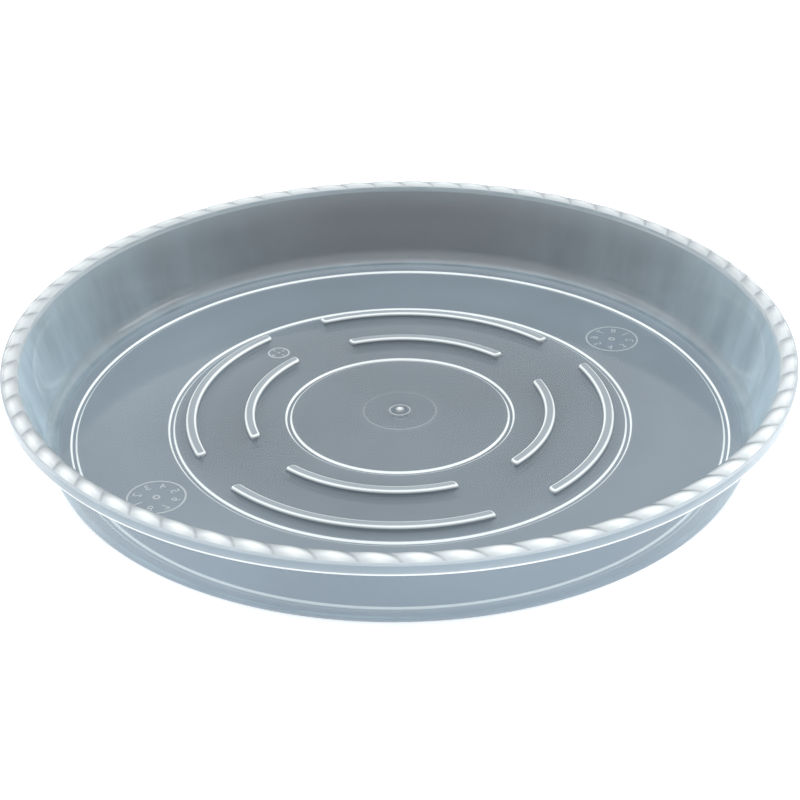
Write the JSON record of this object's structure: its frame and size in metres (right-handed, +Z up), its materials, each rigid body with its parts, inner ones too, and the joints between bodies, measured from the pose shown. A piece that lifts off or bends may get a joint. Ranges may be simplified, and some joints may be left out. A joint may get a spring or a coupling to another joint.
{
  "type": "plant saucer",
  "caption": "Round clear plastic plant saucer with a flared wall, a rope-moulded lip, arc ribs that lift the pot and ring feet.",
  "frame": {"origin": "on the saucer's axis, in the plane of the foot rings that it stands on", "axes": "+Z up along the saucer's axis, +X to the right and +Y away from the viewer in the picture"},
  "size_m": [0.34, 0.34, 0.042],
  "materials": {
    "clear_plastic": "gloss, clear moulded polypropylene with a faint blue-grey cast"
  },
  "bodies": {
    "root": {"saucer": "clear_plastic"}
  },
  "joints": []
}
